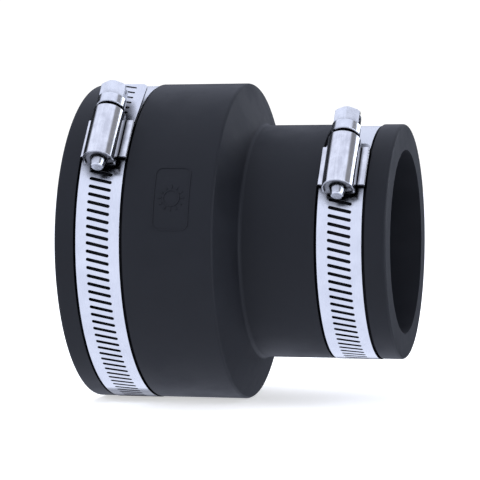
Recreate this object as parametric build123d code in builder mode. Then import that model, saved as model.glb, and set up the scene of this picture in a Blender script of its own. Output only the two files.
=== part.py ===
"""Flexible reducing coupling for drain pipe: one moulded rubber sleeve and two worm-drive clamps.

Frame: the pipe axis is X, +Z is up. The origin is the centre of the large bore's mouth and +X runs
to the small end. Each clamp is drawn in a frame of its own and then turned about X into place:
x runs along the pipe, y is the tangent towards the screw's head, z is the radius through the housing.
Angles along a band are measured about the pipe axis from that radius, positive towards the head.
"""

import os
from dataclasses import dataclass
from math import asin, cos, degrees, pi, radians, sin, tan

from build123d import *

# ---- Sleeve (mm) ----
SLEEVE_LENGTH = 103.8
LARGE_RADIUS = 52.5
SMALL_RADIUS = 38.55
LARGE_BORE_RADIUS = 44.45  # takes 3 in pipe, 88.9 mm outside
SMALL_BORE_RADIUS = 30.15  # takes 2 in pipe, 60.3 mm outside
SHOULDER_START = 51.6  # where the large cylinder turns down into the cone
SHOULDER_END = 56.9  # where the cone meets the small cylinder
LARGE_BORE_LENGTH = 44.0
STOP_LENGTH = 13.0  # axial length of the cone inside that stops both pipes
GROOVE_WIDTH = 16.1
RIM_FILLET = 1.0
NECK_FILLET = 1.2
GROOVE_FILLET = 0.5

# ---- Moulder's panel on the large cylinder: a plain outline round a dial of ticks ----
PANEL_X = 38.0
PANEL_ANGLE = 17.0  # above the front, about X
PANEL_WIDTH = 11.8
PANEL_HEIGHT = 20.8
PANEL_CORNER = 2.5
PANEL_LINE = 0.45
PANEL_RELIEF = 0.18
DIAL_RADIUS = 2.6
TICKS = 12
TICK_CENTRES = 3.7
TICK_LENGTH = 1.1

# ---- Working allowances ----
NEAR = 0.1  # for picking edges by their place
CLEAR = 0.5  # how far a cut runs past what it cuts
CUTTER = 10.0  # length of a cut that has open air beyond it
SHEET_FIT = 0.02  # between two sheets pressed together

# ---- Clamp, common to both ends ----
BAND_WIDTH = 14.3
BAND_SHEET = 0.6
SADDLE_SHEET = 0.45
HOUSING_SHEET = 0.6
PITCH = 2.6
BAND_PROUD = 0.15  # how far the band's outer face stands above the rubber
RUNNING_GAP = 0.15  # between the groove floor and the steel that turns in it
LAYER_GAP = 0.08  # between two layers of band

SLOT_LENGTH = 7.7
SLOT_WIDTH = 1.05
SLOT_SLANT = 13.0
SLOTS_END = -148.0  # the last slot's angle, before the band steps down
SLOT_CUT = 1.5  # the cutter's reach to each side of the band's outer face
SLOT_MARGIN = 1.5  # from the first slot to the free end
TAIL_LEAVES = 13.5  # angle at which the band leaves the circle and runs straight on
BAND_CORNER = 2.0  # radius of the corners at the band's two ends
STEP_ANGLES = (-150.0, -175.0)  # the band steps down from the outer to the inner layer
LOOP_START = -245.0  # where the moving band begins, tucked under its fixed end
ANCHOR_START = -4.0
ANCHOR_END = 150.0

CREST_RADIUS = 4.45
ROOT_RADIUS = 3.05
CREST_WIDTH = 0.3
THREAD_FLANK = 15.0
THREAD_BITE = 0.5  # how far the crest reaches into the band's slots
THREAD_EMBED = 0.25  # depth of the ridge's foot in the core
THREAD_TURNS = (-4, 5)  # the helix runs between these turns and is then cut to length
THREAD_END_TIP = -7.7
THREAD_END_HEAD = 8.7

DOME_TIP = -9.3
DOME_HEAD = 9.7
DOME_GAP = 0.1  # between the thread's crest and the dome
LIP_SHEET = 0.6
LIP_SETBACK = 1.2  # the lip at the tip end stands this far inside the dome
LIP_OVERLAP = 0.1  # how far the lips run into the dome's wall
SCREW_FIT = 0.08  # radial clearance of the screw in the lips
LEG_CUT = 1.8  # beyond the flanges the dome's legs end this far below the screw's axis
FLANGE_TIP = -5.5
FLANGE_HEAD = 9.0
FLANGE_HALF_WIDTH = 7.15
FOOT_LIFT = 0.2  # from the band's outer face to the housing's feet
FOOT_BEND = 0.45  # along the middle of the sheet
BEND_RISE = 1.5  # how much of the leg is drawn with its foot's bend
SADDLE_HALF_WIDTH = 7.7
SADDLE_BEND = 0.7
SADDLE_SPAN = 30.0  # half the angle over which the space between the folded sides is cleared
WING_INNER = 5.35
PIP_RADIUS = 1.0
PIP_X = 3.6
PIP_Y = 3.0
PIP_ROOT = 0.3  # how deep the pips start in the saddle's sheet
PIP_HEIGHT = 0.45
PIP_FIT = 0.05

HEAD_START = 11.3
HEAD_END = 20.05
HEAD_ACROSS_FLATS = 7.94  # 5/16 in
HEAD_CORNER_ANGLE = -86.5  # a corner stands nearly along the radius, leaning towards +X
HEAD_CHAMFER = 0.4  # taken off the corners' radius at the free end
HEAD_CHAMFER_LENGTH = 0.35
HEAD_SLOT_WIDTH = 1.3
HEAD_SLOT_DEPTH = 2.4
COLLAR_RADIUS = 4.65
COLLAR_LENGTH = 3.75
COLLAR_EASE = 0.25
NECK_RADIUS = 2.6
JOURNAL_RADIUS = 2.7  # the plain part that turns in the lip at the tip end
JOURNAL_END = -8.9
TIP_RADIUS = 1.95  # of the cone's small end
TIP_FILLET = 0.5
TIP_END = -11.9


@dataclass
class Clamp:
    """What differs between the two clamps."""

    name: str
    centre: float  # along the sleeve
    outer_radius: float  # of the rubber beside the groove
    housing_angle: float  # of the radius through the housing, above the front of the pipe axis
    tail_end: float  # from the worm along the band to its free end

    @property
    def top(self):
        """Outer radius of the band where it passes the worm."""
        return self.outer_radius + BAND_PROUD

    @property
    def anchor_outer(self):
        return self.top - BAND_SHEET - LAYER_GAP

    @property
    def start_outer(self):
        return self.anchor_outer - BAND_SHEET - LAYER_GAP

    @property
    def floor(self):
        """Radius of the groove's floor."""
        return self.start_outer - BAND_SHEET - RUNNING_GAP

    @property
    def axis_height(self):
        """Radius of the screw's axis."""
        return self.top - THREAD_BITE + CREST_RADIUS

    @property
    def slot_step(self):
        """Angle of one pitch, taken at mid-bite."""
        return degrees(PITCH / (self.top - THREAD_BITE / 2))

    @property
    def frame(self):
        a = radians(self.housing_angle)
        return Plane((self.centre, 0, 0), x_dir=(1, 0, 0), z_dir=(0, -cos(a), sin(a)))


LARGE = Clamp("large", 14.45, LARGE_RADIUS, housing_angle=37.5, tail_end=30.15)
SMALL = Clamp("small", 89.05, SMALL_RADIUS, housing_angle=36.5, tail_end=13.0)


def save(part, name):
    part.label = name
    export_step(part, f"parts/{name}.step")


def polar(radius, angle):
    """A point of the clamp's y-z plane at a band angle."""
    return (radius * sin(radians(angle)), radius * cos(radians(angle)))


def band_arc(radius, start, end):
    """An arc about the pipe axis between two band angles, start above end."""
    return CenterArc((0, 0), radius, 90 - start, start - end)


# ---- Sleeve ----
def ring_groove(clamp):
    """The band's seat, to be taken out of the sleeve."""
    with BuildPart() as groove:
        with BuildSketch(Plane.XY):
            with Locations((clamp.centre, clamp.floor)):
                Rectangle(GROOVE_WIDTH, CUTTER, align=(Align.CENTER, Align.MIN))
        revolve(axis=Axis.X)
        floor_edges = groove.edges().filter_by(GeomType.CIRCLE).sort_by(lambda e: e.radius)[:2]
        fillet(floor_edges, GROOVE_FILLET)
    return groove.part


def panel_relief():
    """A plain moulder's panel: an outline, a ring and a circle of ticks, standing proud of the rubber."""
    a = radians(PANEL_ANGLE)
    outward = Vector(0, -cos(a), sin(a))
    depth = LARGE_RADIUS * (1 - cos(asin(PANEL_HEIGHT / 2 / LARGE_RADIUS))) + CLEAR
    face = Plane(outward * (LARGE_RADIUS - depth) + Vector(PANEL_X, 0, 0), x_dir=(1, 0, 0), z_dir=outward)
    with BuildPart() as panel:
        with BuildSketch(face):
            RectangleRounded(PANEL_WIDTH, PANEL_HEIGHT, PANEL_CORNER)
            RectangleRounded(
                PANEL_WIDTH - 2 * PANEL_LINE,
                PANEL_HEIGHT - 2 * PANEL_LINE,
                PANEL_CORNER - PANEL_LINE,
                mode=Mode.SUBTRACT,
            )
            Circle(DIAL_RADIUS + PANEL_LINE / 2)
            Circle(DIAL_RADIUS - PANEL_LINE / 2, mode=Mode.SUBTRACT)
            with PolarLocations(TICK_CENTRES, TICKS):
                Rectangle(TICK_LENGTH, PANEL_LINE)
        extrude(amount=depth + CLEAR)
        with BuildSketch(Plane.YZ.offset(PANEL_X)):
            Circle(LARGE_RADIUS + PANEL_RELIEF)
            Circle(LARGE_RADIUS - CLEAR, mode=Mode.SUBTRACT)
        extrude(amount=PANEL_WIDTH / 2 + CLEAR, both=True, mode=Mode.INTERSECT)
    return panel.part


def sleeve():
    with BuildPart() as body:
        with BuildSketch(Plane.XY):
            with BuildLine():
                Polyline(
                    (0, LARGE_BORE_RADIUS),
                    (0, LARGE_RADIUS),
                    (SHOULDER_START, LARGE_RADIUS),
                    (SHOULDER_END, SMALL_RADIUS),
                    (SLEEVE_LENGTH, SMALL_RADIUS),
                    (SLEEVE_LENGTH, SMALL_BORE_RADIUS),
                    (LARGE_BORE_LENGTH + STOP_LENGTH, SMALL_BORE_RADIUS),
                    (LARGE_BORE_LENGTH, LARGE_BORE_RADIUS),
                    close=True,
                )
            make_face()
        revolve(axis=Axis.X)
        circles = body.edges().filter_by(GeomType.CIRCLE)
        rims = circles.filter_by(lambda e: e.radius > SMALL_RADIUS - NEAR)
        ends = rims.filter_by(lambda e: e.center().X < NEAR and e.radius > LARGE_RADIUS - NEAR)
        ends += rims.filter_by(lambda e: e.center().X > SLEEVE_LENGTH - NEAR)
        fillet(ends, RIM_FILLET)
        crown = body.edges().filter_by(GeomType.CIRCLE)
        crown = crown.filter_by(lambda e: abs(e.center().X - SHOULDER_START) < NEAR)
        fillet(crown.filter_by(lambda e: e.radius > LARGE_RADIUS - NEAR), RIM_FILLET)
        neck = body.edges().filter_by(GeomType.CIRCLE)
        fillet(neck.filter_by(lambda e: abs(e.center().X - SHOULDER_END) < NEAR), NECK_FILLET)
        for clamp in (LARGE, SMALL):
            add(ring_groove(clamp), mode=Mode.SUBTRACT)
        add(panel_relief())
    return body.part


# ---- Band ----
def band_step(clamp, inset):
    """The curve by which the band steps down one layer pair, at a depth below its outer face."""
    high, low = STEP_ANGLES
    middle = (high + low) / 2
    outer, inner = clamp.top - inset, clamp.start_outer - inset
    ends = [polar(1, angle - 90) for angle in (high, low)]
    return Spline(
        polar(outer, high),
        polar((outer + inner) / 2, middle),
        polar(inner, low),
        tangents=[Vector(*e) for e in ends],
    )


def tail_point(clamp, inset):
    """The free end's corner in the clamp's y-z plane, at a depth below the band's outer face."""
    straight = clamp.tail_end - clamp.top * radians(TAIL_LEAVES)
    start_y, start_z = polar(clamp.top - inset, TAIL_LEAVES)
    run_y, run_z = polar(straight, TAIL_LEAVES + 90)
    return (start_y + run_y, start_z + run_z)


def slot_plane(clamp, number):
    """The plane on the band's outer face at a slot, counted from the one square under the worm."""
    angle = number * clamp.slot_step
    beyond = max(angle - TAIL_LEAVES, 0)
    y, z = polar(clamp.top, min(angle, TAIL_LEAVES))
    run_y, run_z = polar(clamp.top * radians(beyond), TAIL_LEAVES + 90)
    out = Vector(0, *polar(1, min(angle, TAIL_LEAVES)))
    return Plane((0, y + run_y, z + run_z), x_dir=(1, 0, 0), z_dir=out)


def band(clamp):
    """The moving length: from its hidden start, round the pipe, under the worm and out as the tail."""
    with BuildPart() as loop:
        with BuildSketch(Plane.YZ.offset(-BAND_WIDTH / 2)):
            with BuildLine():
                Line(tail_point(clamp, 0), polar(clamp.top, TAIL_LEAVES))
                band_arc(clamp.top, TAIL_LEAVES, STEP_ANGLES[0])
                band_step(clamp, 0)
                band_arc(clamp.start_outer, STEP_ANGLES[1], LOOP_START)
                Line(
                    polar(clamp.start_outer, LOOP_START),
                    polar(clamp.start_outer - BAND_SHEET, LOOP_START),
                )
                band_arc(clamp.start_outer - BAND_SHEET, STEP_ANGLES[1], LOOP_START)
                band_step(clamp, BAND_SHEET)
                band_arc(clamp.top - BAND_SHEET, TAIL_LEAVES, STEP_ANGLES[0])
                Line(tail_point(clamp, BAND_SHEET), polar(clamp.top - BAND_SHEET, TAIL_LEAVES))
                Line(tail_point(clamp, 0), tail_point(clamp, BAND_SHEET))
            make_face()
        extrude(amount=BAND_WIDTH)
        fillet(loop.edges().filter_by(Axis((0, 0, 0), (0, *polar(1, TAIL_LEAVES)))), BAND_CORNER)
        last = int((clamp.tail_end - SLOT_MARGIN) / PITCH)
        slots = range(int(SLOTS_END / clamp.slot_step), last + 1)
        with BuildSketch(*[slot_plane(clamp, number) for number in slots]):
            SlotOverall(SLOT_LENGTH, SLOT_WIDTH, rotation=-SLOT_SLANT)
        extrude(amount=SLOT_CUT, both=True, mode=Mode.SUBTRACT)
    return loop.part


def band_anchor(clamp):
    """The fixed end of the band, locked to the saddle and lying under the tail."""
    inner = clamp.anchor_outer - BAND_SHEET
    with BuildPart() as strip:
        with BuildSketch(Plane.YZ.offset(-BAND_WIDTH / 2)):
            with BuildLine():
                band_arc(clamp.anchor_outer, ANCHOR_END, ANCHOR_START)
                band_arc(inner, ANCHOR_END, ANCHOR_START)
                for angle in (ANCHOR_START, ANCHOR_END):
                    Line(polar(clamp.anchor_outer, angle), polar(inner, angle))
            make_face()
        extrude(amount=BAND_WIDTH)
        end_radius = Axis((0, 0, 0), (0, *polar(1, ANCHOR_END)))
        fillet(strip.edges().filter_by(end_radius), BAND_CORNER)
        with BuildSketch(Plane.XY):
            with Locations((PIP_X, PIP_Y), (-PIP_X, PIP_Y)):
                Circle(PIP_RADIUS + PIP_FIT)
        extrude(amount=clamp.top, mode=Mode.SUBTRACT)
    return strip.part


# ---- Saddle ----
def saddle(clamp):
    """The sheet under the fixed end, its sides folded up and in over the housing's feet."""
    inner = clamp.floor + RUNNING_GAP
    outer = clamp.anchor_outer - BAND_SHEET - SHEET_FIT
    wing_top = clamp.top + FOOT_LIFT + HOUSING_SHEET + SHEET_FIT + SADDLE_SHEET
    tip, head = [degrees(asin(end / inner)) for end in (FLANGE_TIP, FLANGE_HEAD)]
    side = outer * sin(radians(SADDLE_SPAN))
    with BuildPart() as body:
        with BuildSketch(Plane.YZ.offset(-SADDLE_HALF_WIDTH)):
            with BuildLine():
                arc = band_arc(inner, head, tip)
                Line(arc @ 0, (FLANGE_HEAD, wing_top))
                Line((FLANGE_HEAD, wing_top), (FLANGE_TIP, wing_top))
                Line((FLANGE_TIP, wing_top), arc @ 1)
            make_face()
        extrude(amount=2 * SADDLE_HALF_WIDTH)
        top_edges = body.edges().filter_by(Axis.Y).group_by(Axis.Z)[-1]
        fillet(top_edges, SADDLE_BEND)
        with BuildSketch(Plane.YZ.offset(SADDLE_SHEET - SADDLE_HALF_WIDTH)):
            with BuildLine():
                Polyline(
                    polar(outer, SADDLE_SPAN),
                    (side, wing_top - SADDLE_SHEET),
                    (-side, wing_top - SADDLE_SHEET),
                    polar(outer, -SADDLE_SPAN),
                )
                band_arc(outer, SADDLE_SPAN, -SADDLE_SPAN)
            make_face()
        extrude(amount=2 * (SADDLE_HALF_WIDTH - SADDLE_SHEET), mode=Mode.SUBTRACT)
        with BuildSketch(Plane.XY.offset(wing_top + CLEAR)):
            Rectangle(2 * WING_INNER, 2 * side)
        extrude(amount=-(SADDLE_SHEET + 2 * CLEAR), mode=Mode.SUBTRACT)
        with BuildSketch(Plane.XY.offset(outer - PIP_ROOT)):
            with Locations((PIP_X, PIP_Y), (-PIP_X, PIP_Y)):
                Circle(PIP_RADIUS)
        extrude(amount=PIP_ROOT + PIP_HEIGHT)
    return body.part


# ---- Housing ----
def housing(clamp):
    """The pressed cover that holds the screw down on the band."""
    height = clamp.axis_height
    inner = CREST_RADIUS + DOME_GAP
    mid = inner + HOUSING_SHEET / 2
    foot = clamp.top + FOOT_LIFT + HOUSING_SHEET / 2
    lip_foot = foot + HOUSING_SHEET / 2
    lip = inner + LIP_OVERLAP
    with BuildPart() as cover:
        with BuildSketch(Plane.XZ.offset(-DOME_HEAD)):
            with BuildLine(mode=Mode.PRIVATE) as arch:
                Line((mid, foot - HOUSING_SHEET / 2), (mid, height))
                CenterArc((0, height), mid, 0, 180)
                Line((-mid, height), (-mid, foot - HOUSING_SHEET / 2))
            trace(arch.line, line_width=HOUSING_SHEET)
        extrude(amount=DOME_HEAD - DOME_TIP)
        with BuildSketch(Plane.XZ.offset(-FLANGE_HEAD)):
            for side in (1, -1):
                with BuildLine(mode=Mode.PRIVATE) as bend:
                    FilletPolyline(
                        (side * mid, foot + BEND_RISE),
                        (side * mid, foot),
                        (side * FLANGE_HALF_WIDTH, foot),
                        radius=FOOT_BEND,
                    )
                trace(bend.line, line_width=HOUSING_SHEET)
        extrude(amount=FLANGE_HEAD - FLANGE_TIP)
        for low, high in ((DOME_TIP - CLEAR, FLANGE_TIP), (FLANGE_HEAD, DOME_HEAD + CLEAR)):
            with BuildSketch(Plane.XY.offset(height - LEG_CUT)):
                for side in (1, -1):
                    with Locations((side * mid, (low + high) / 2)):
                        Rectangle(HOUSING_SHEET + CLEAR, high - low)
            extrude(amount=-CUTTER, mode=Mode.SUBTRACT)
        for start, hole in ((DOME_HEAD, NECK_RADIUS), (DOME_TIP + LIP_SETBACK, JOURNAL_RADIUS)):
            with BuildSketch(Plane.XZ.offset(-start)):
                with Locations((0, height)):
                    Circle(lip)
                with Locations((0, (height + lip_foot) / 2)):
                    Rectangle(2 * lip, height - lip_foot)
                with Locations((0, lip_foot)):
                    Rectangle(2 * CUTTER, CUTTER, align=(Align.CENTER, Align.MAX), mode=Mode.SUBTRACT)
                with Locations((0, height)):
                    Circle(hole + SCREW_FIT, mode=Mode.SUBTRACT)
            extrude(amount=LIP_SHEET)
    return cover.part


# ---- Screw ----
def screw():
    """The worm screw, along Z with its head up, before it is laid along the tangent."""
    with BuildPart() as worm:
        with BuildSketch(Plane((0, 0, THREAD_END_TIP), x_dir=(0, 1, 0), z_dir=(0, 0, 1))):
            Circle(ROOT_RADIUS)
        extrude(amount=THREAD_END_HEAD - THREAD_END_TIP)
        add(thread_ridge())
        with BuildSketch(Plane.XY.offset(THREAD_END_HEAD)):
            Circle(NECK_RADIUS)
        extrude(amount=HEAD_START - THREAD_END_HEAD)
        add(screw_tip())
        add(head_blank())
    return worm.part


def screw_tip():
    """The plain end beyond the thread: a journal that turns in the housing's lip, then a cone."""
    with BuildPart() as tip:
        with BuildSketch(Plane.XZ):
            with BuildLine():
                Polyline(
                    (0, TIP_END),
                    (TIP_RADIUS, TIP_END),
                    (JOURNAL_RADIUS, JOURNAL_END),
                    (JOURNAL_RADIUS, THREAD_END_TIP),
                    (0, THREAD_END_TIP),
                    close=True,
                )
            make_face()
        revolve(axis=Axis.Z)
        fillet(tip.edges().filter_by(GeomType.CIRCLE).group_by(Axis.Z)[0], TIP_FILLET)
    return tip.part


def head_blank():
    """The hexagon head on its round collar, with a screwdriver slot across its end."""
    corner = HEAD_ACROSS_FLATS / 2 / cos(pi / 6)
    with BuildPart() as head:
        with BuildSketch(Plane.XY.offset(HEAD_START)):
            RegularPolygon(radius=corner, side_count=6, rotation=HEAD_CORNER_ANGLE)
        extrude(amount=HEAD_END - HEAD_START)
        with BuildSketch(Plane.XZ):
            with BuildLine():
                Polyline(
                    (0, HEAD_START),
                    (corner + CLEAR, HEAD_START),
                    (corner + CLEAR, HEAD_END - HEAD_CHAMFER_LENGTH),
                    (corner, HEAD_END - HEAD_CHAMFER_LENGTH),
                    (corner - HEAD_CHAMFER, HEAD_END),
                    (0, HEAD_END),
                    close=True,
                )
            make_face()
        revolve(axis=Axis.Z, mode=Mode.INTERSECT)
        with BuildSketch(Plane.XZ):
            with BuildLine():
                Polyline(
                    (0, HEAD_START),
                    (COLLAR_RADIUS - COLLAR_EASE, HEAD_START),
                    (COLLAR_RADIUS, HEAD_START + COLLAR_EASE),
                    (COLLAR_RADIUS, HEAD_START + COLLAR_LENGTH - COLLAR_EASE),
                    (COLLAR_RADIUS - COLLAR_EASE, HEAD_START + COLLAR_LENGTH),
                    (0, HEAD_START + COLLAR_LENGTH),
                    close=True,
                )
            make_face()
        revolve(axis=Axis.Z)
        with BuildSketch(Plane.XY.offset(HEAD_END)):
            Rectangle(CUTTER, HEAD_SLOT_WIDTH, rotation=HEAD_CORNER_ANGLE + 90)
        extrude(amount=-HEAD_SLOT_DEPTH, mode=Mode.SUBTRACT)
    return head.part


def thread_ridge():
    """A right-hand ridge whose crest crosses the band's side of the screw at whole pitches from z = 0."""
    first, last = THREAD_TURNS
    start = PITCH * (first - 0.25)
    depth = CREST_RADIUS - ROOT_RADIUS
    root_half = CREST_WIDTH / 2 + (depth + THREAD_EMBED) * tan(radians(THREAD_FLANK))
    with BuildPart() as ridge:
        with BuildLine() as path:
            Helix(pitch=PITCH, height=PITCH * (last - first), radius=ROOT_RADIUS, center=(0, 0, start))
        with BuildSketch(Plane((ROOT_RADIUS, 0, start), x_dir=(1, 0, 0), z_dir=(0, 1, 0))):
            with BuildLine():
                Polyline(
                    (-THREAD_EMBED, -root_half),
                    (depth, -CREST_WIDTH / 2),
                    (depth, CREST_WIDTH / 2),
                    (-THREAD_EMBED, root_half),
                    close=True,
                )
            make_face()
        sweep(path=path.line, is_frenet=True)
        with BuildSketch(Plane.XY.offset(THREAD_END_TIP)):
            Circle(CREST_RADIUS + CLEAR)
        extrude(amount=THREAD_END_HEAD - THREAD_END_TIP, mode=Mode.INTERSECT)
    return ridge.part


def lay_screw(clamp):
    return Location((0, 0, clamp.axis_height), (-90, 0, 0)) * screw()


def build():
    os.makedirs("parts", exist_ok=True)
    save(sleeve(), "sleeve")
    for clamp in (LARGE, SMALL):
        place = clamp.frame.location
        save(place * saddle(clamp), f"{clamp.name}_saddle")
        save(place * housing(clamp), f"{clamp.name}_housing")
        save(place * lay_screw(clamp), f"{clamp.name}_screw")
        save(place * band_anchor(clamp), f"{clamp.name}_band_anchor")
        save(place * band(clamp), f"{clamp.name}_band")


build()
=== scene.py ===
"""Looks for the flexible reducing coupling: materials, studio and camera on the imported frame.

Metres, pipe axis along X, +Z up, origin at the centre of the large bore's mouth.
"""

from math import cos, radians, sin

import bpy
from mathutils import Matrix, Vector


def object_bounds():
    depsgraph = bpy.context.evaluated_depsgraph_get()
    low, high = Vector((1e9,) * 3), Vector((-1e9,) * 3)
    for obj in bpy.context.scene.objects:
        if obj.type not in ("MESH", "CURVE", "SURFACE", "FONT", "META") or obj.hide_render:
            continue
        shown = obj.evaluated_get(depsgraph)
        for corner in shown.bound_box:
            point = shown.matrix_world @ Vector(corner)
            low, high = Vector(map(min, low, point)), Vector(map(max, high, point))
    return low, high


MM = 0.001

# ---- Camera ----
CAMERA_AZIMUTH = radians(14.25)
CAMERA_ELEVATION = radians(2.25)
CAMERA_ROLL = radians(-0.26)
CAMERA_DISTANCE = 0.7112
CAMERA_TARGET = Vector((0.0475, 0, 0.00025))
CAMERA_LENS = 159.4
SENSOR_WIDTH = 36.0
CLIP_START = 0.01
CLIP_END = 50.0

# ---- What the steel mirrors ----
# Degrees of lean from overhead towards +X over which each part of the room fades in
GAP_FROM = (39.0, 45.0)
PANEL_FROM = (63.0, 67.0)
FLOOR_FROM = (92.0, 104.0)
# The dark far wall: how far back (+Y) and how high (Z) its directions point, as it fades in
WALL_BACK = (0.15, 0.40)
WALL_TOP = (0.06, -0.03)
WALL_FOOT = (-0.45, -0.28)
WALL_RISE = 0.5  # how much higher it stands for each unit towards -X
WALL_LIFT = 0.14  # how much higher it stands on the -X side of the fade below
WALL_LIFT_ENDS = (0.29, 0.37)
# The dark gear in front of the part: its direction, and the cosines over which it fades in
GEAR_DIRECTION = (0.246, -0.968, 0.04)
GEAR_EDGE = (0.955, 0.985)
ROOM_STRENGTH = 1.34
AMBIENT_STRENGTH = 0.9
BACKDROP_STRENGTH = 1.1

# ---- Lights and floor ----
MIDDLE = (0.05, 0.0, 0.0)
OVERHEAD_PLACE = (0.0, 0.05, 0.75)
OVERHEAD_SIZE = (0.9, 0.7)
OVERHEAD_POWER = 4.0
OVERHEAD_COLOUR = (0.93, 0.96, 1.0)
FRONT_PLACE = (-0.75, -0.7, 0.35)
FRONT_SIZE = (0.5, 0.7)
FRONT_POWER = 5.0
FRONT_COLOUR = (0.95, 0.97, 1.0)
FLOOR_REACH = 4.0
FLOOR_GLOW = 0.55
FLOOR_ROUGHNESS = (0.7, 0.8)

# ---- Colours, linear ----
WHITE = (1.0, 1.0, 1.0, 1.0)
FLOOR_COLOUR = (0.92, 0.92, 0.93, 1.0)
RUBBER_DARK = (0.0048, 0.0056, 0.0082, 1.0)
RUBBER_LIGHT = (0.0072, 0.0082, 0.0115, 1.0)
ROOM_COLOUR = (0.77, 0.82, 1.0, 1.0)
GAP_COLOUR = (0.25, 0.255, 0.285, 1.0)
PANEL_COLOUR = (1.95, 2.1, 2.5, 1.0)
WALL_COLOUR = (0.012, 0.013, 0.016, 1.0)
AMBIENT_COLOUR = (0.86, 0.90, 1.0, 1.0)
# Painted shade: the near-black that the steel's colour is darkened towards where it is shut in
PAINTED_SHADE_COLOUR = (0.008, 0.008, 0.010, 1.0)
STEEL = (0.72, 0.73, 0.75, 1.0)
STEEL_SHADE = (0.60, 0.61, 0.64, 1.0)
PRESSED_LIGHT = (0.75, 0.75, 0.76, 1.0)
PRESSED_DARK = (0.56, 0.56, 0.58, 1.0)

# ---- Surfaces ----
# Cells of noise to the metre in X, Y and Z: fewer along the way a pattern runs
FLOW_SCALE = (30.0, 90.0, 90.0)
STREAK_SCALE = (850.0, 70.0, 70.0)
MARK_SCALE = (3800.0, 420.0, 420.0)
TURNING_SCALE = (260.0, 1900.0, 1900.0)
BEVEL_SAMPLES = 6
PAINTED_SHADE_SAMPLES = 8
RUBBER_ROUGHNESS = (0.52, 0.68)
RUBBER_SPECULAR = 0.24
RUBBER_RELIEF = 0.06 * MM
SEAM_HALF_WIDTH = 0.25 * MM
BAND_ROUGHNESS = (0.13, 0.24)
BAND_RELIEF = 0.012 * MM
BAND_EDGE = 0.12 * MM  # radius of the slit edges
BAND_STRETCH = 0.0045  # metres of line pattern to a radian round the pipe: it runs long
HOUSING_ROUGHNESS = (0.08, 0.2)
SADDLE_ROUGHNESS = (0.14, 0.28)
MARK_RELIEF = 0.008 * MM
STREAK_RELIEF = 0.03 * MM
PRESSED_EDGE = 0.18 * MM
SCREW_ROUGHNESS = (0.12, 0.27)
TURNING_RELIEF = 0.01 * MM
SCREW_EDGE = 0.2 * MM
# Painted shade: how far each steel looks for its neighbours, and how sharply its colour is
# darkened near them
BAND_PAINTED_SHADE = (5.0 * MM, 4.0)
HOUSING_PAINTED_SHADE = (5.0 * MM, 4.0)
SADDLE_PAINTED_SHADE = (1.2 * MM, 2.0)
SCREW_PAINTED_SHADE = (5.0 * MM, 2.0)

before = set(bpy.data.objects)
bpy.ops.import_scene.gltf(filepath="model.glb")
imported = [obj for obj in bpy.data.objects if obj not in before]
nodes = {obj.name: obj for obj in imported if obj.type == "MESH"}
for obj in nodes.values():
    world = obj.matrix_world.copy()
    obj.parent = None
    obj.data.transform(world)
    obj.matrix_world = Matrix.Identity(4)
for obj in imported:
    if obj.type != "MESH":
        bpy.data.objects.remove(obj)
cad_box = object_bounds()


# ---- Material helpers ----
class Tree:
    """A node tree with short ways to add and wire its nodes."""

    def __init__(self, owner):
        owner.use_nodes = True
        self.nodes = owner.node_tree.nodes
        self.links = owner.node_tree.links
        self.nodes.clear()

    def add(self, kind, inputs=None, **settings):
        """A node of a kind, with values or links for its inputs by name or number."""
        node = self.nodes.new(kind)
        for name, value in settings.items():
            setattr(node, name, value)
        for name, value in (inputs or {}).items():
            self.feed(node.inputs[name], value)
        return node

    def feed(self, socket, value):
        if isinstance(value, bpy.types.NodeSocket):
            self.links.new(value, socket)
        else:
            socket.default_value = value

    def maths(self, operation, *values):
        return self.add("ShaderNodeMath", dict(enumerate(values)), operation=operation).outputs[0]

    def noise(self, vector, scale, detail, roughness=0.55):
        inputs = {"Vector": vector, "Scale": scale, "Detail": detail, "Roughness": roughness}
        return self.add("ShaderNodeTexNoise", inputs).outputs["Fac"]

    def spread(self, value, low, high, to_low=0.0, to_high=1.0):
        """The value mapped from one range to another and held there."""
        inputs = {
            "Value": value,
            "From Min": low,
            "From Max": high,
            "To Min": to_low,
            "To Max": to_high,
        }
        return self.add("ShaderNodeMapRange", inputs).outputs["Result"]

    def blend(self, factor, first, second):
        node = self.add("ShaderNodeMix", data_type="RGBA")
        self.feed(node.inputs["Factor"], factor)
        colours = [s for s in node.inputs if s.type == "RGBA"]
        self.feed(colours[0], first)
        self.feed(colours[1], second)
        return next(s for s in node.outputs if s.type == "RGBA")

    def place(self):
        return self.add("ShaderNodeTexCoord").outputs["Object"]

    def split(self, vector):
        return self.add("ShaderNodeSeparateXYZ", {"Vector": vector}).outputs

    def scaled(self, vector, scale):
        inputs = {"Vector": vector, "Scale": scale}
        return self.add("ShaderNodeMapping", inputs).outputs["Vector"]

    def bump(self, height, distance, strength, normal=None):
        inputs = {"Height": height, "Distance": distance, "Strength": strength}
        if normal is not None:
            inputs["Normal"] = normal
        return self.add("ShaderNodeBump", inputs).outputs["Normal"]

    def rounded(self, radius):
        """A normal that rounds the edges of pressed and turned steel."""
        bevel = self.add("ShaderNodeBevel", {"Radius": radius}, samples=BEVEL_SAMPLES)
        return bevel.outputs["Normal"]

    def painted_shade(self, colour, reach, power):
        """Painted shade: the colour darkened by ambient occlusion where other steel or rubber
        shuts the surface in.
        """
        inputs = {"Distance": reach}
        occlusion = self.add("ShaderNodeAmbientOcclusion", inputs, samples=PAINTED_SHADE_SAMPLES)
        shade = self.maths("POWER", occlusion.outputs["AO"], power)
        return self.blend(shade, PAINTED_SHADE_COLOUR, colour)

    def surface(self, inputs):
        shader = self.add("ShaderNodeBsdfPrincipled", inputs)
        self.add("ShaderNodeOutputMaterial", {"Surface": shader.outputs["BSDF"]})


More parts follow.
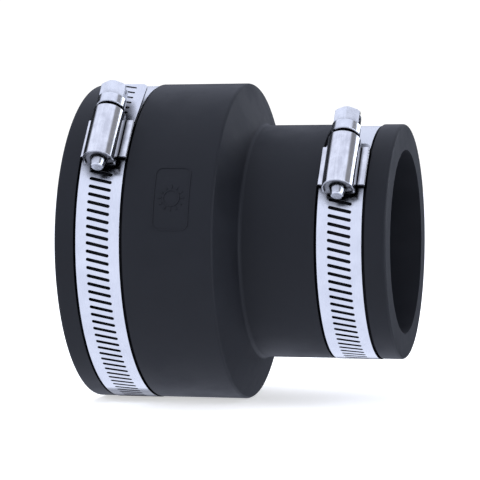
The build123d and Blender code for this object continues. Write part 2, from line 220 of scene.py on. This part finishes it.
def rubber():
    """Moulded rubber: a dull skin with fine grain, faint flow marks and a parting line."""
    material = bpy.data.materials.new("moulded_rubber")
    t = Tree(material)
    at = t.place()
    grain = t.noise(at, scale=2600.0, detail=4.0, roughness=0.6)
    flow = t.noise(t.scaled(at, FLOW_SCALE), scale=1.0, detail=4.0)
    bloom = t.spread(t.noise(at, scale=55.0, detail=5.0), 0.42, 0.68)
    across = t.maths("ABSOLUTE", t.split(at)["Y"])
    seam = t.spread(across, 0.0, SEAM_HALF_WIDTH, 1.0, 0.0)
    height = t.maths("ADD", t.maths("MULTIPLY", grain, 0.35), t.maths("MULTIPLY", flow, 0.5))
    height = t.maths("ADD", height, seam)
    t.surface(
        {
            "Base Color": t.blend(bloom, RUBBER_DARK, RUBBER_LIGHT),
            "Roughness": t.spread(t.maths("ADD", bloom, grain), 0.3, 1.5, *RUBBER_ROUGHNESS),
            "Specular IOR Level": RUBBER_SPECULAR,
            "Normal": t.bump(height, RUBBER_RELIEF, strength=0.55),
        }
    )
    return material


def band_steel():
    """Slit stainless strip: fine rolling lines along its length and rounded slit edges."""
    material = bpy.data.materials.new("band_steel")
    t = Tree(material)
    x, y, z = t.split(t.place())
    round_pipe = t.maths("MULTIPLY", t.maths("ARCTAN2", z, y), BAND_STRETCH)
    along = t.add("ShaderNodeCombineXYZ", {"X": x, "Y": round_pipe}).outputs[0]
    lines = t.noise(along, scale=5200.0, detail=5.0, roughness=0.65)
    smears = t.noise(t.place(), scale=160.0, detail=4.0)
    mixed = t.maths("ADD", lines, smears)
    colour = t.blend(t.spread(mixed, 0.7, 1.3), STEEL_SHADE, STEEL)
    t.surface(
        {
            # Painted shade: the base colour is darkened where neighbouring parts shut the band in
            "Base Color": t.painted_shade(colour, *BAND_PAINTED_SHADE),
            "Metallic": 1.0,
            "Roughness": t.spread(mixed, 0.6, 1.4, *BAND_ROUGHNESS),
            "Normal": t.bump(lines, BAND_RELIEF, strength=0.5, normal=t.rounded(BAND_EDGE)),
        }
    )
    return material


def pressed_steel(name, roughness, painted_shade):
    """Bright pressed sheet: near-mirror with drawing marks, long streaks and finger smears."""
    material = bpy.data.materials.new(name)
    t = Tree(material)
    at = t.place()
    streaks = t.noise(t.scaled(at, STREAK_SCALE), scale=1.0, detail=3.0, roughness=0.6)
    marks = t.noise(t.scaled(at, MARK_SCALE), scale=1.0, detail=4.0, roughness=0.6)
    smears = t.noise(at, scale=330.0, detail=5.0)
    shade = t.spread(t.maths("ADD", smears, streaks), 0.8, 1.2)
    waved = t.bump(streaks, STREAK_RELIEF, strength=0.4, normal=t.rounded(PRESSED_EDGE))
    t.surface(
        {
            # Painted shade: the base colour is darkened where neighbouring parts shut the sheet
            # in
            "Base Color": t.painted_shade(t.blend(shade, PRESSED_LIGHT, PRESSED_DARK), *painted_shade),
            "Metallic": 1.0,
            "Roughness": t.spread(t.maths("ADD", smears, marks), 0.7, 1.4, *roughness),
            "Normal": t.bump(marks, MARK_RELIEF, strength=0.5, normal=waved),
        }
    )
    return material


def turned_steel():
    """The screw: bright cold-formed steel with faint turning marks."""
    material = bpy.data.materials.new("screw_steel")
    t = Tree(material)
    at = t.place()
    rings = t.noise(t.scaled(at, TURNING_SCALE), scale=1.0, detail=4.0, roughness=0.6)
    smears = t.spread(t.noise(at, scale=420.0, detail=4.0), 0.4, 0.72)
    t.surface(
        {
            # Painted shade: the base colour is darkened where neighbouring parts shut the screw
            # in
            "Base Color": t.painted_shade(t.blend(smears, STEEL, STEEL_SHADE), *SCREW_PAINTED_SHADE),
            "Metallic": 1.0,
            "Roughness": t.spread(t.maths("ADD", smears, rings), 0.2, 1.5, *SCREW_ROUGHNESS),
            "Normal": t.bump(
                rings, TURNING_RELIEF, strength=0.5, normal=t.rounded(SCREW_EDGE)
            ),
        }
    )
    return material


def dress(node, material):
    """Gives a CAD node one material on every slot it has."""
    piece = nodes[node]
    if not piece.material_slots:
        piece.data.materials.append(material)
    for held in piece.material_slots:
        held.material = material


def dress_all():
    """Dresses every piece, though the bands' fixed ends get the frame's plain steel.

    The frame brings a material called band_steel, so that name finds it and not the slit strip's.
    """
    dress("sleeve", rubber())
    looks = {
        "band": band_steel(),
        "band_anchor": bpy.data.materials["band_steel"],
        "housing": pressed_steel("housing_steel", HOUSING_ROUGHNESS, HOUSING_PAINTED_SHADE),
        "saddle": pressed_steel("saddle_steel", SADDLE_ROUGHNESS, SADDLE_PAINTED_SHADE),
        "screw": turned_steel(),
    }
    for end in ("large", "small"):
        for part, material in looks.items():
            dress(f"{end}_{part}", material)


# ---- Studio ----
def far_wall(t, x, y, z):
    """How far a direction points at the dark wall behind the part, from 0 to 1."""
    raised = t.maths("MULTIPLY_ADD", t.maths("MINIMUM", x, 0.0), WALL_RISE, z)
    raised = t.maths("SUBTRACT", raised, t.spread(x, *WALL_LIFT_ENDS, WALL_LIFT, 0.0))
    level = t.maths("MULTIPLY", t.spread(raised, *WALL_TOP), t.spread(z, *WALL_FOOT))
    return t.maths("MULTIPLY", t.spread(y, *WALL_BACK), level)


def mirrored_room(t):
    """A pale room with a dim gap, a bright panel, a dark far wall and dark gear in front."""
    direction = t.add("ShaderNodeTexCoord").outputs["Generated"]
    x, y, z = t.split(direction)
    lean = t.maths("ARCTAN2", x, z)
    gap = t.spread(lean, *map(radians, GAP_FROM))
    panel = t.spread(lean, *map(radians, PANEL_FROM))
    below = t.spread(lean, *map(radians, FLOOR_FROM))
    towards = t.add(
        "ShaderNodeVectorMath", {0: direction, 1: GEAR_DIRECTION}, operation="DOT_PRODUCT"
    )
    gear = t.spread(towards.outputs["Value"], *GEAR_EDGE)
    colour = t.blend(gap, ROOM_COLOUR, GAP_COLOUR)
    colour = t.blend(panel, colour, PANEL_COLOUR)
    colour = t.blend(below, colour, ROOM_COLOUR)
    colour = t.blend(far_wall(t, x, y, z), colour, WALL_COLOUR)
    return t.blend(gear, colour, WALL_COLOUR)


def studio_world():
    """White behind the part, soft pale light on it, and a room for the steel to mirror."""
    world = bpy.data.worlds.new("studio")
    bpy.context.scene.world = world
    t = Tree(world)
    shown = {
        "room": (mirrored_room(t), ROOM_STRENGTH),
        "ambient": (AMBIENT_COLOUR, AMBIENT_STRENGTH),
        "backdrop": (WHITE, BACKDROP_STRENGTH),
    }
    shade = {
        name: t.add("ShaderNodeBackground", {"Color": colour, "Strength": strength}).outputs[0]
        for name, (colour, strength) in shown.items()
    }
    rays = t.add("ShaderNodeLightPath").outputs
    seen = {0: rays["Is Camera Ray"], 1: shade["ambient"], 2: shade["backdrop"]}
    seen = t.add("ShaderNodeMixShader", seen).outputs[0]
    mixed = {0: rays["Is Glossy Ray"], 1: seen, 2: shade["room"]}
    mixed = t.add("ShaderNodeMixShader", mixed).outputs[0]
    t.add("ShaderNodeOutputWorld", {"Surface": mixed})


def soft_light(name, place, size, power, colour):
    """A soft box aimed at the middle of the part, which the steel doesn't mirror."""
    data = bpy.data.lights.new(name, "AREA")
    data.shape = "RECTANGLE"
    data.size, data.size_y = size
    data.energy = power
    data.color = colour
    lamp = bpy.data.objects.new(name, data)
    lamp.location = place
    lamp.rotation_mode = "QUATERNION"
    lamp.rotation_quaternion = (Vector(MIDDLE) - Vector(place)).to_track_quat("-Z", "Y")
    lamp.visible_glossy = False
    bpy.context.scene.collection.objects.link(lamp)


def lights():
    soft_light("overhead", OVERHEAD_PLACE, OVERHEAD_SIZE, OVERHEAD_POWER, OVERHEAD_COLOUR)
    soft_light("front_left", FRONT_PLACE, FRONT_SIZE, FRONT_POWER, FRONT_COLOUR)


def floor():
    """A plain pale floor at the height of the part's lowest point."""
    height = cad_box[0].z
    reach = FLOOR_REACH
    corners = [(-reach, -reach), (reach, -reach), (reach, reach), (-reach, reach)]
    mesh = bpy.data.meshes.new("floor")
    mesh.from_pydata([(x, y, height) for x, y in corners], [], [(0, 1, 2, 3)])
    piece = bpy.data.objects.new("floor", mesh)
    bpy.context.scene.collection.objects.link(piece)
    material = bpy.data.materials.new("pale_floor")
    t = Tree(material)
    mottle = t.noise(t.place(), scale=6.0, detail=3.0)
    t.surface(
        {
            "Base Color": FLOOR_COLOUR,
            "Roughness": t.spread(mottle, 0.3, 0.7, *FLOOR_ROUGHNESS),
            "Emission Color": WHITE,
            "Emission Strength": FLOOR_GLOW,
        }
    )
    mesh.materials.append(material)
    piece.visible_glossy = False


def camera():
    """The photograph's view: a long lens at pipe height, a little to the right of square on."""
    a, e = CAMERA_AZIMUTH, CAMERA_ELEVATION
    back = Vector((sin(a) * cos(e), -cos(a) * cos(e), sin(e)))
    level = Vector((cos(a), sin(a), 0))
    upright = back.cross(level)
    right = cos(CAMERA_ROLL) * level + sin(CAMERA_ROLL) * upright
    up = back.cross(right)
    data = bpy.data.cameras.new("camera")
    data.lens = CAMERA_LENS
    data.sensor_width = SENSOR_WIDTH
    data.clip_start = CLIP_START
    data.clip_end = CLIP_END
    viewer = bpy.data.objects.new("camera", data)
    turn = Matrix((right, up, back)).transposed().to_4x4()
    viewer.matrix_world = Matrix.Translation(CAMERA_TARGET + CAMERA_DISTANCE * back) @ turn
    bpy.context.scene.collection.objects.link(viewer)
    bpy.context.scene.camera = viewer


camera()
studio_world()
lights()
floor()
dress_all()
bpy.context.scene.view_settings.view_transform = "Standard"
